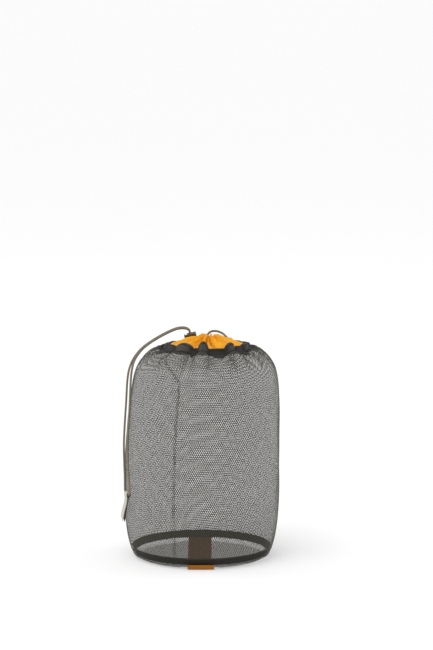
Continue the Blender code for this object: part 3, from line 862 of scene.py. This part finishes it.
def make_tab():
    """A ribbon folded over the cord: its fold, and two plies that meet and run to a slanting end, one ply
    darkened as painted shade.
    """
    width, fold, ply, spacing = 0.0092, 0.0021, 0.0005, 0.0006
    arc = np.radians(np.linspace(0, 180, 13))
    line = [(fold * math.cos(a), fold * math.sin(a)) for a in arc]
    front = [(fold - 0.0002, -0.0012), (fold - 0.0010, -0.0036), (0.0008, -0.0056), (0.0007, -0.0100),
             (0.0011, -0.0160), (0.0014, -0.0220), (0.0015, -0.0290)]
    back = [(-y, z) for y, z in front]
    back = [(y + 0.0002 * k, z) for k, (y, z) in enumerate(back)]
    line = smooth_path(np.array(front[::-1] + line + back), spacing)
    along = np.arange(len(line)) * spacing
    across = np.linspace(-1, 1, 9)
    y, z = line[:, 0][:, None], line[:, 1][:, None]
    cut = 0.0040 * (1 - across[None, :]) / 2
    reach = np.clip((-z - 0.006) / 0.023, 0, 1)
    cup = 0.0003 * (across[None, :] ** 2) * smoothstep(0.004, 0.02, -z)
    points = spread(across[None, :] * width / 2, y + cup * np.sign(y), z + cut * reach)
    uv = spread(along[:, None], across[None, :] * width / 2)
    faces = grid_faces(len(line), len(across))
    data = mesh_from("ribbon_tab", points, faces, uv)
    outward(data)
    x, y, z = coordinates(data).T
    # painted shade: the ply on the +y side is tinted nearly black
    set_painted_shade(data, smoothstep(0.0002, 0.0008, y))
    turn, lean = math.radians(TAB_TURN), math.radians(TAB_LEAN)
    y, z = y * math.cos(lean) - z * math.sin(lean), y * math.sin(lean) + z * math.cos(lean)
    x, y = x * math.cos(turn) - y * math.sin(turn), x * math.sin(turn) + y * math.cos(turn)
    data.vertices.foreach_set("co", (np.stack([x, y, z], axis=1) + TAB_PLACE).ravel())
    data.update()
    finish = cloth_material("grosgrain_ribbon", colour("ribbon"), 0.6, 0.0008, 10.0, 0.00012,
                            dark=0.7, tight=(0.07, 0.065, 0.055), Sheen_Weight=0.2)
    piece = add_object("ribbon_tab", data, finish, "pull_tab", "pull_tab", slot="tab_ribbon")
    thicken(piece, "ply", ply)
    return piece


class SACK_OT_netting(bpy.types.Operator):
    """Knits the wall's netting in three lengths, and the netting of the base"""
    bl_idname = "laundry_sack.netting"
    bl_label = "Netting"

    def execute(self, context):
        size = sizes()
        # the yarn keeps 0.42 of its colour where painted shade is full, over the tape
        finish = net_material("knit_netting", colour("netting"), tight=0.42)
        diagonal = size.net_pitch * math.sqrt(2)
        columns = round(math.tau * WALL_NET_RADIUS / diagonal)
        rows = 2 * round(WALL.length / diagonal)
        cuts = [2 * round(rows * share / 2) for share in (0, 0.34, 0.67, 1)]

        def place(share, turn):
            return WALL.point(share * WALL.length, turn)

        names = ("wall_netting_low", "wall_netting_middle", "wall_netting_high")
        for name, first, last in zip(names, cuts, cuts[1:]):
            span = (first, min(last + 1, rows))
            points, faces = diamond_grid(columns, rows, size.net_slant, place, span)
            guide = mesh_from(name, points, faces, smooth=False)
            middle = points[faces].mean(axis=1)
            turn = np.arctan2(middle[:, 1], middle[:, 0] - axis_x(middle[:, 2]))
            _, share = in_gather(GATHERS, turn)
            crease = 1 - np.sin(np.pi * share) ** 0.45
            near = smoothstep(*CREASE_SPAN, middle[:, 2])
            set_openness(guide, 1 - near * (0.15 + 0.55 * crease))
            top = BINDING_HEIGHTS[1]   # painted shade darkens the yarn where it lies on the tape and below
            set_painted_shade(guide, 1 - smoothstep(top - 0.0008, top + 0.0012, points[:, 2]))
            data = grow(guide, "netting", finish, Hole_Share=size.hole_share, Yarn_Drop=size.yarn_drop)
            add_object(name, data, finish, "bag", "mesh_wall", slot="netting")
        self.base(finish, size)
        return {"FINISHED"}

    def base(self, finish, size):
        """A disc of the same netting, which lies over the strap and turns up at its rim."""
        pitch = size.net_pitch
        reach = int(0.073 / pitch) + 1
        row, column = np.meshgrid(np.arange(-reach, reach + 1), np.arange(-reach, reach + 1),
                                  indexing="ij")
        x, y = (row - column) * pitch / math.sqrt(2), (row + column) * pitch / math.sqrt(2)
        count = 2 * reach + 1
        radius = np.hypot(x, y)
        over = np.abs(x + BASE_OFFSET - STRAP_X) - STRAP_WIDTH / 2
        z = np.maximum(0.0003 + 0.0036 * smoothstep(0.0650, BASE_NET_RADIUS, radius),
                       0.0012 * (1 - smoothstep(0.004, 0.012, over)) + 0.0002)
        points = np.stack([x + BASE_OFFSET, y, z], axis=-1).reshape(-1, 3)
        faces = grid_faces(count, count)
        kept = (radius.reshape(-1)[faces] < BASE_NET_RADIUS).all(axis=1)
        points, faces = keep_used(points, faces[kept])
        guide = mesh_from("base_netting", points, faces, smooth=False)
        set_openness(guide, np.ones(len(faces)))
        data = grow(guide, "netting", finish, Hole_Share=0.89, Yarn_Drop=size.yarn_drop)
        add_object("base_netting", data, finish, "bag", "base_panel", slot="netting")


def band(name, section, angles, closed, pitch_u, lift=None):
    """Carries a section of (radius, height) points round the sack, with a strip map in metres."""
    section = np.array(section, float)
    steps = np.linalg.norm(np.diff(section, axis=0, append=section[:1]), axis=1)
    around = np.concatenate([[0], np.cumsum(steps)])[:-1]
    turn = np.array(angles)[:, None]
    radius, height = section[:, 0][None, :], section[:, 1][None, :]
    if lift is not None:
        radius, height = lift(radius, height, turn)
    points = on_sack(radius + 0 * turn, height + 0 * turn, turn + 0 * radius)
    uv = spread(turn * pitch_u, around[None, :])
    faces = grid_faces(len(angles), len(section), wrap_rows=closed, wrap_columns=True)
    return mesh_from(name, points, faces, uv)


def wall_section(heights, depths, spacing=0.001):
    """A closed section along the wall between two depths, with rounded edges."""
    low, high = WALL.at_height(heights[0]), WALL.at_height(heights[1])
    along = np.linspace(low, high, max(3, round((high - low) / spacing) + 1))
    sides = []
    for depth in depths:
        radius = WALL.radius_at(along) - depth * np.interp(
            along, WALL.along, WALL.out_radius)
        height = WALL.height_at(along) - depth * np.interp(
            along, WALL.along, WALL.out_height)
        sides.append(list(zip(radius, height)))
    return sides[0] + sides[1][::-1]


class SACK_OT_seams(bpy.types.Operator):
    """Makes the base binding, the side seam and their stitches"""
    bl_idname = "laundry_sack.seams"
    bl_label = "Seams"

    def execute(self, context):
        turns = np.arange(288) / 288 * math.tau
        section = wall_section(BINDING_HEIGHTS, BINDING_DEPTH)
        finish = cloth_material("binding_tape", colour("binding"), 0.75, 0.0007, 0.0007, 0.0001,
                                slant=1.0, Specular_IOR_Level=0.2)
        data = band("binding_tape", section, turns, True, 0.075)
        outward(data)
        add_object("binding_tape", data, finish, "bag", "base_binding", slot="binding_tape")
        self.side_seam()
        self.stitches()
        return {"FINISHED"}

    def side_seam(self):
        """Two layers of netting pressed to one side, made as one strip of netting."""
        finish = net_material("seam_netting", tuple(0.8 * part for part in colour("gathered")))
        low, high = WALL.at_height(0.010), WALL.at_height(0.2225)
        columns, rows = 2, 2 * round((high - low) / 0.0030)

        def place(share, across):
            along = low + (high - low) * share
            radius = WALL.radius_at(along)
            turn = seam_angle(WALL.height_at(along))
            return WALL.point(along, turn + across * SEAM_HALF_WIDTH / radius, 0.0006)

        row = np.arange(rows + 1)[:, None] / rows
        across = np.linspace(-1, 1, columns + 1)[None, :]
        points = place(row + 0 * across, across + 0 * row)
        faces = grid_faces(rows + 1, columns + 1)
        guide = mesh_from("side_seam", points, faces, smooth=False)
        set_openness(guide, np.ones(len(faces)))
        data = grow(guide, "netting", finish, Hole_Share=0.80, Yarn_Drop=0.0001)
        add_object("side_seam", data, finish, "bag", "side_seam_tape", slot="dark_netting")

    def stitches(self):
        """Thread along both edges of the binding and down the side seam."""
        finish = net_material("sewing_thread", colour("binding"))
        size = sizes()
        turns = np.arange(361) / 360 * math.tau
        lines = []
        for height in (0.0046, 0.0102):
            along = WALL.at_height(height)
            lines.append(WALL.point(along + 0 * turns, turns, -0.0001))
        low, high = WALL.at_height(0.012), WALL.at_height(0.222)
        down = np.linspace(low, high, 240)
        radius = WALL.radius_at(down)
        for side in (-SEAM_HALF_WIDTH, SEAM_HALF_WIDTH):
            turn = seam_angle(WALL.height_at(down))
            lines.append(WALL.point(down, turn + side / radius, -0.0001))
        points = np.vstack(lines)
        edges, start = [], 0
        for line in lines:
            edges += [(start + k, start + k + 1) for k in range(len(line) - 1)]
            start += len(line)
        guide = bpy.data.meshes.new("seam_stitches")
        guide.from_pydata(points.tolist(), edges, [])
        data = grow(guide, "stitches", finish, Pitch=size.stitch_pitch, Stitch=size.stitch_length,
                    Thread_Radius=size.thread_radius)
        add_object("seam_stitches", data, finish, "bag", slot="binding_tape")


class SACK_OT_strap(bpy.types.Operator):
    """Makes the webbing strap under the base"""
    bl_idname = "laundry_sack.strap"
    bl_label = "Base strap"

    def execute(self, context):
        half = [(0.0, 0.0004), (0.035, 0.0004), (0.060, 0.0004), (0.0695, 0.0004), (0.0723, 0.0009),
                (0.0740, 0.0028), (0.0750, 0.0056)]
        spacing = 0.0012
        line = smooth_path([(-y, z) for y, z in half[:0:-1]] + half, spacing)
        across = np.linspace(-1, 1, 15)
        run = directions(line)
        thick = STRAP_THICKNESS / 2 * np.sqrt(np.clip(1.02 - across**8, 0.05, 1))
        sides = []
        for way in (1, -1):
            y = line[:, 0][:, None] - way * run[:, 1][:, None] * thick[None, :]
            z = line[:, 1][:, None] + way * run[:, 0][:, None] * thick[None, :]
            x = STRAP_X + across[None, :] * STRAP_WIDTH / 2 + 0 * y
            x = x + 0.0030 * (across[None, :] > 0) * across[None, :] * smoothstep(0.060, 0.0745, -y)
            layer = np.stack([x, y, np.maximum(z, 0.0)], axis=-1)
            sides.append(layer if way == 1 else layer[:, ::-1])
        points = np.concatenate(sides, axis=1)
        count = points.shape[1]
        along = np.arange(len(line)) * spacing
        flat = np.concatenate([across, across[::-1]]) * STRAP_WIDTH / 2
        uv = spread(along[:, None], flat[None, :])
        faces = grid_faces(len(line), count, wrap_columns=True).tolist()
        data = bpy.data.meshes.new("base_webbing")
        ends = [list(range(count)), list(range((len(line) - 1) * count, len(line) * count))]
        data.from_pydata(points.reshape(-1, 3).tolist(), [], faces + ends)
        add_strip_map(data, uv)
        outward(data)
        data.shade_smooth()
        data.set_sharp_from_angle(angle=math.radians(50))
        finish = cloth_material("strap_webbing", colour("webbing"), 0.5, 0.0022, 0.0011, 0.00022,
                                slant=0.6, dark=0.72, Specular_IOR_Level=0.2)
        add_object("base_webbing", data, finish, "bag", "base_strap", slot="strap_webbing")
        return {"FINISHED"}


class SACK_OT_mouth(bpy.types.Operator):
    """Makes the gathered hem round the mouth and the facing behind the cord's window"""
    bl_idname = "laundry_sack.mouth"
    bl_label = "Gathered hem"

    def execute(self, context):
        turns = np.radians(np.linspace(WINDOW_ANGLES[1], 360 + WINDOW_ANGLES[0], 540))
        points = self.surface(turns)
        steps = np.linalg.norm(np.diff(points, axis=1), axis=-1).mean(axis=0)
        around = np.concatenate([[0], np.cumsum(steps)])
        self.backing(turns, points, around)
        self.netting(turns, points, around)
        self.facing(cloth_material("hem_facing_cloth", colour("gathered"), 0.7, 0.0012, 0.0012, 0.0002,
                                   amount=0.2, dark=0.35, Specular_IOR_Level=0.3))
        return {"FINISHED"}

    def surface(self, turns):
        """The hem's outer face, from its foot on the shoulder over the rolled rim and down inside."""
        turn = turns[:, None]
        swell = fold_wave(GATHERS, 1, turn)
        rim = rim_height(turn)
        skirt = 0.0020 + fold_wave(GATHERS, 3, turn, 1.0)
        shoulder = WALL.at_height(0.2205)
        columns = []
        for share in HEM_FOOT:
            out = skirt * (1 - share)
            along = np.interp(HEM_RADIUS + out, WALL.radius[::-1][:160], WALL.along[::-1][:160])
            foot = WALL.point(np.maximum(along, shoulder), turn, -0.0005)
            away = np.hypot(foot[..., 0] - axis_x(foot[..., 2]), foot[..., 1])
            columns.append((away, foot[..., 2] + RIM_TILT * np.sin(turn)))
        for share in np.linspace(0, 1, 12):
            out = (swell - 0.0008) * (1 - 0.25 * share) - 0.0010 * math.sin(math.pi * share)
            columns.append((HEM_RADIUS - 0.0034 * share + out, HEM_HEIGHT + (rim - HEM_HEIGHT) * share))
        for radius, drop in HEM_ROLL:
            columns.append((radius + 0.35 * (swell - 0.001), rim + drop))
        columns.append((0.0385 + 0 * rim, np.minimum(0.2236, rim - 0.005)))
        radius = np.concatenate([column[0] + 0 * turn for column in columns], axis=1)
        height = np.concatenate([column[1] + 0 * turn for column in columns], axis=1)
        return on_sack(radius, height, turn + 0 * radius)

    def backing(self, turns, points, around):
        """The under layers of the gathered cloth, which close the holes of the outer netting; their colour
        is darkened to a quarter as painted shade.
        """
        points = points[:, 1:]
        uv = spread(turns[:, None] * 0.045, around[None, 1:])
        slanted = np.stack([uv[..., 0] + uv[..., 1], uv[..., 0] - uv[..., 1]], axis=-1)
        faces = grid_faces(len(turns), points.shape[1])
        data = mesh_from("hem_lining", points, faces[:, ::-1], slanted)
        # painted shade: the lining is a quarter as bright as the gathered netting
        finish = cloth_material("gathered_lining", tuple(0.25 * part for part in colour("gathered")),
                                0.8, 0.0011, 0.0011, 0.0001, amount=0.15, dark=0.6,
                                Specular_IOR_Level=0.25)
        piece = add_object("hem_lining", data, finish, "bag", "drawcord_tunnel", slot="dark_netting")
        thicken(piece, "cloth", 0.0004, -1.0)

    def netting(self, turns, points, around):
        """The outer netting of the hem, drawn dense by the gathers."""
        size = sizes()
        pitch = size.net_pitch * 0.62
        rows, columns = round(around[-1] / pitch), round(HEM_RADIUS * (turns[-1] - turns[0]) / pitch)
        row = np.linspace(0, around[-1], rows + 1)[:, None]
        column = np.linspace(0, len(turns) - 1, columns + 1)[None, :]
        depth = np.interp(row, around, np.arange(len(around)))
        depth, column = np.broadcast_arrays(depth, column)
        low, left = np.floor(depth).astype(int), np.floor(column).astype(int)
        high, right = np.minimum(low + 1, len(around) - 1), np.minimum(left + 1, len(turns) - 1)
        up, over = (depth - low)[..., None], (column - left)[..., None]
        net = ((points[left, low] * (1 - over) + points[right, low] * over) * (1 - up)
               + (points[left, high] * (1 - over) + points[right, high] * over) * up)
        way = np.cross(np.gradient(net, axis=1), np.gradient(net, axis=0))
        way /= np.linalg.norm(way, axis=-1, keepdims=True) + 1e-12
        net = net + 0.00022 * way
        odd, even = np.indices(net.shape[:2])
        corner = (odd + even) % 2 == 0
        index = np.arange(net.shape[0] * net.shape[1]).reshape(net.shape[:2])
        middle = ~corner[1:-1, 1:-1]
        faces = np.stack([index[:-2, 1:-1][middle], index[1:-1, 2:][middle], index[2:, 1:-1][middle],
                          index[1:-1, :-2][middle]], axis=-1)
        places, faces = keep_used(net.reshape(-1, 3), faces)
        guide = mesh_from("gathered_hem", places, faces, smooth=False)
        set_openness(guide, np.ones(len(faces)))
        set_painted_shade(guide, self.tightness(places))
        # the yarn keeps 0.30 of its colour where painted shade is full
        finish = net_material("gathered_netting", colour("gathered"), tight=0.30)
        data = grow(guide, "netting", finish, Hole_Share=0.52, Yarn_Drop=size.yarn_drop)
        add_object("gathered_hem", data, finish, "bag", "drawcord_tunnel", slot="dark_netting")

    def tightness(self, places):
        """Painted shade: full in the creases and flat recesses, and least on the tops of the folds near the
        rim.
        """
        turn = np.arctan2(places[:, 1], places[:, 0] - axis_x(places[:, 2]))
        swell = fold_wave(GATHERS, 1, turn, 1.3)
        unshaded = smoothstep(0.0002, 0.0034, swell)
        foot = smoothstep(0.2225, 0.2300, places[:, 2] + RIM_TILT * np.sin(turn))
        return 1 - unshaded * (0.25 + 0.75 * foot)

    def facing(self, finish):
        """The hem's floor and inner layer, which go on under and behind the cord's window."""
        turns = np.radians(np.linspace(WINDOW_ANGLES[0] - 1, WINDOW_ANGLES[1] + 1, 120))
        section = [(0.0476, 0.2238), (0.0440, 0.2240), (0.0408, 0.2241), (0.0399, 0.2248),
                   (0.0398, 0.2262), (0.0396, 0.2275), (0.0391, 0.2281), (0.0386, 0.2275),
                   (0.0385, 0.2262), (0.0386, 0.2238), (0.0400, 0.2233), (0.0440, 0.2233),
                   (0.0476, 0.2232)]
        data = band("hem_facing", section, turns, False, 0.06)
        outward(data, close=True)
        data.set_sharp_from_angle(angle=math.radians(60))
        add_object("hem_facing", data, finish, "bag", "window_facing", slot="dark_netting")


class SACK_OT_collar(bpy.types.Operator):
    """Makes the thin cloth collar, pleated up to its bunched middle"""
    bl_idname = "laundry_sack.collar"
    bl_label = "Collar"

    def execute(self, context):
        spacing = 0.0007
        line = smooth_path(COLLAR_PROFILE, spacing)
        turns = np.arange(432) / 432 * math.tau
        turn = turns[:, None]
        radius, height = line[:, 0][None, :], line[:, 1][None, :]
        share = radius / COLLAR_PROFILE[0][0]
        big = 2.5 * knife_wave(COLLAR_FOLDS, 1, turn + 0.25 * (1 - share) ** 2) - 0.0010
        fine = 0.0005 * np.sin(37 * turn + 5 * np.sin(5 * turn) + 9 * share)
        middle = smoothstep(0.10, 0.30, share) * (1 - smoothstep(0.80, 0.99, share))
        bunch = 1 - smoothstep(0.16, 0.36, share)
        lift = -RIM_TILT * np.sin(turn) * share + (big - 0.0013 + 0.7 * fine) * middle
        lift = lift + bunch * (knife_wave(COLLAR_FOLDS, 1, turn + 0.25) - 0.0014)
        pinch = 1 + bunch * 0.16 * np.sin(22 * turn + 2 * np.sin(3 * turn)) * smoothstep(
            0.9, 0.5, share)
        outwards = radius * pinch
        centre = axis_x(np.array(RING_HEIGHT)) + COLLAR_SHIFT * (1 - share)
        points = spread(centre + outwards * np.cos(turn), outwards * np.sin(turn), height + lift)
        along = np.arange(len(line)) * spacing
        uv = spread(turn * 0.03, along[None, :])
        faces = grid_faces(len(turns), len(line), wrap_rows=True)
        data = mesh_from("mouth_collar_cloth", points, faces[:, ::-1], uv)
        # painted shade: the fold valleys are tinted a deeper, darker orange
        valley_shade = 1 - smoothstep(0.0, 0.0032, big + 0.0010 + 0 * share) * (1 - 0.3 * bunch)
        set_painted_shade(data, valley_shade.ravel())
        finish = cloth_material("ripstop_cloth", colour("collar"), 0.42, 0.0006, 0.0006, 0.00003,
                                dark=0.92, amount=0.06, tight=(0.80, 0.62, 0.40),
                                Specular_IOR_Level=0.22, Subsurface_Weight=0.12,
                                Subsurface_Radius=(0.004, 0.002, 0.0005))
        piece = add_object("mouth_collar_cloth", data, finish, "bag", "mouth_collar",
                           slot="collar_cloth")
        thicken(piece, "cloth", 0.00025)
        return {"FINISHED"}


class SACK_OT_lock(bpy.types.Operator):
    """Finishes the cord lock's own solids, and copies its spring"""
    bl_idname = "laundry_sack.lock"
    bl_label = "Cord lock"

    def execute(self, context):
        finishes = {
            "cord_lock_body": moulded_material("lock_plastic", colour("lock"), 0.42),
            "cord_lock_button": moulded_material("button_plastic", tuple(
                0.6 * part for part in colour("lock")), 0.38),
        }
        for name, finish in finishes.items():
            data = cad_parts[name].data
            data.materials.clear()
            data.materials.append(finish)
        self.spring()
        return {"FINISHED"}

    def spring(self):
        """A copy of the spring, in place of the part's own."""
        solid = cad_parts["cord_lock_spring"]
        data = solid.data.copy()
        data.name = "lock_spring"
        data.transform(solid.matrix_world)
        outward(data)
        piece = add_object("lock_spring", data, steel_material(), "cord_lock", "cord_lock_spring",
                           slot="spring_steel")
        points = coordinates(data)
        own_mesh(piece)


class SACK_OT_stage(bpy.types.Operator):
    """Makes the pale floor and the soft light"""
    bl_idname = "laundry_sack.stage"
    bl_label = "Stage"

    def execute(self, context):
        data = bpy.data.meshes.new("floor")
        reach = 12.0
        data.from_pydata([(-reach, -reach, 0), (reach, -reach, 0), (reach, reach, 0),
                          (-reach, reach, 0)], [], [(0, 1, 2, 3)])
        floor = bpy.data.objects.new("floor", data)
        pale = (0.68, 0.68, 0.68)
        made, tree, shader, place = start_material("pale_floor", pale, 0.8)
        dye = dyed(tree, place, pale, 0.5, 0.05, 0.005)
        tree.links.new(dye.outputs["Colour"], shader.inputs["Base Color"])
        shader.inputs["Emission Color"].default_value = (1.0, 1.0, 1.0, 1.0)
        shader.inputs["Emission Strength"].default_value = 0.30
        data.materials.append(made)
        link(floor)
        world = bpy.data.worlds.new("studio")
        bpy.context.scene.world = world
        world.use_nodes = True
        tree = world.node_tree
        back = tree.nodes["Background"]
        back.inputs[0].default_value = (1.0, 1.0, 1.0, 1.0)
        seen = tree.nodes.new("ShaderNodeLightPath").outputs["Is Camera Ray"]
        strength = node(tree, "ShaderNodeMapRange", inputs={0: seen, 3: 0.62, 4: 1.0})
        tree.links.new(strength.outputs[0], back.inputs[1])
        sun = bpy.data.lights.new("sky_panel", "SUN")
        sun.energy = 1.35
        sun.angle = math.radians(50)
        high = bpy.data.objects.new("sky_panel", sun)
        high.rotation_euler = (math.radians(28), math.radians(-18), 0)
        link(high)
        self.lamp("left_panel", (-1.6, 0.5, 0.7), 1.2, 9.0)
        self.lamp("right_panel", (1.6, 0.5, 0.7), 1.2, 9.0)
        bpy.context.scene.view_settings.view_transform = "Standard"
        return {"FINISHED"}

    def lamp(self, name, place, size, power):
        light = bpy.data.lights.new(name, "AREA")
        light.size = size
        light.energy = power
        made = bpy.data.objects.new(name, light)
        made.location = place
        aim = -np.array(place) + (0, 0, 0.12)
        aim /= np.linalg.norm(aim)
        made.rotation_euler = (math.acos(-aim[2]), 0, math.atan2(-aim[0], aim[1]))
        link(made)


PIECES = (SACK_OT_camera, SACK_OT_cords, SACK_OT_netting, SACK_OT_seams, SACK_OT_strap, SACK_OT_mouth,
          SACK_OT_collar, SACK_OT_lock, SACK_OT_stage)


class SACK_PT_panel(bpy.types.Panel):
    """Lists the sack's pieces and sizes"""
    bl_label = "Laundry sack"
    bl_idname = "SACK_PT_panel"
    bl_space_type = "VIEW_3D"
    bl_region_type = "UI"
    bl_category = "Laundry sack"

    def draw(self, context):
        for piece in PIECES:
            self.layout.operator(piece.bl_idname)
        for group in (context.scene.sack_sizes, context.scene.sack_colours):
            for name in group.bl_rna.properties.keys():
                if name not in ("rna_type", "name"):
                    self.layout.prop(group, name)


CLASSES = (SackSizes, SackColours, *PIECES, SACK_PT_panel)


def register():
    for kind in CLASSES:
        bpy.utils.register_class(kind)
    bpy.types.Scene.sack_sizes = bpy.props.PointerProperty(type=SackSizes)
    bpy.types.Scene.sack_colours = bpy.props.PointerProperty(type=SackColours)


def unregister():
    del bpy.types.Scene.sack_colours
    del bpy.types.Scene.sack_sizes
    for kind in reversed(CLASSES):
        bpy.utils.unregister_class(kind)


def main():
    register()
    for piece in PIECES:
        group, name = piece.bl_idname.split(".")
        getattr(getattr(bpy.ops, group), name)()


if __name__ == "__main__":
    main()
